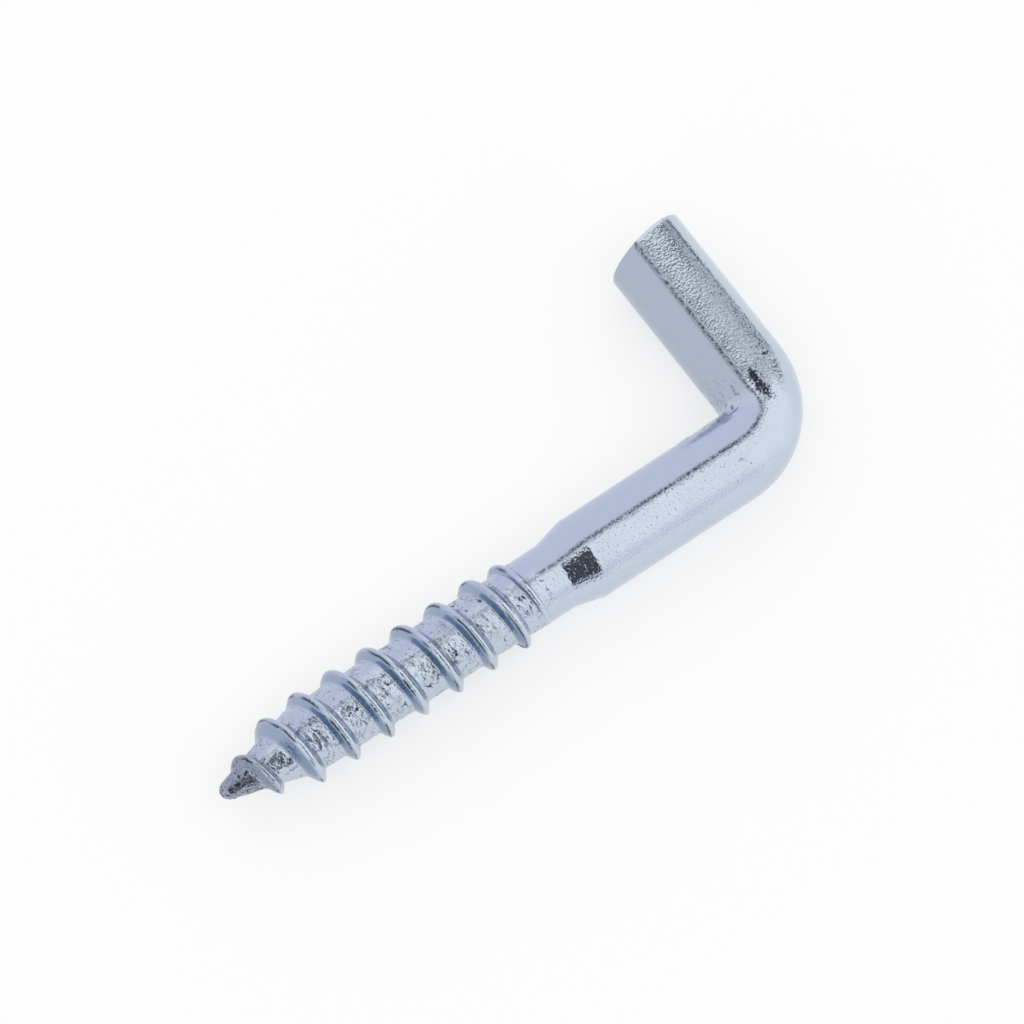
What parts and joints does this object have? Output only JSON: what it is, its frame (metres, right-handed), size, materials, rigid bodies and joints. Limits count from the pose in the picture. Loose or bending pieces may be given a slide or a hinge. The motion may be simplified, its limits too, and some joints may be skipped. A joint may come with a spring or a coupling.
{
  "type": "screw hook",
  "caption": "Square-bend screw hook: gimlet-pointed coarse wood thread, round shank and a plain arm bent at a right angle, zinc-plated steel.",
  "frame": {"origin": "on the screw's axis where the thread ends, which is as far as the hook is screwed in", "axes": "+X along the screw from its point towards the bend, +Y along the arm from the bend to its sheared end, +Z square to the flat of the L"},
  "size_m": [0.0843, 0.0328, 0.0104],
  "materials": {
    "zinc_plate": "bright zinc plating over rolled and bent steel, lightly marked"
  },
  "bodies": {
    "root": {"screw_hook": "zinc_plate"}
  },
  "joints": []
}
